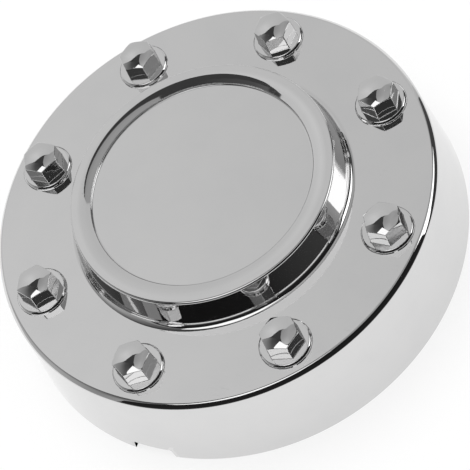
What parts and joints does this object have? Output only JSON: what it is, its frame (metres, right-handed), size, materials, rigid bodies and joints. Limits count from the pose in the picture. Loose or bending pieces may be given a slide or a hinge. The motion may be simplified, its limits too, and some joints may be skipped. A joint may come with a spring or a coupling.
{
  "type": "wheel center cap",
  "caption": "Chromed moulded wheel center cap: drafted skirt, flat face, raised ring round a shallow dish, domed hex nut covers and a pry notch; covers the wheel's hub.",
  "frame": {"origin": "centre of the open rim's plane, on the cap's axis", "axes": "+Z along the cap's axis, up through the face; -Y through the pry notch"},
  "size_m": [0.211, 0.2105, 0.058],
  "materials": {
    "chrome_plating": "bright mirror plating on moulded plastic"
  },
  "bodies": {
    "root": {"cap_shell": "chrome_plating"}
  },
  "joints": []
}
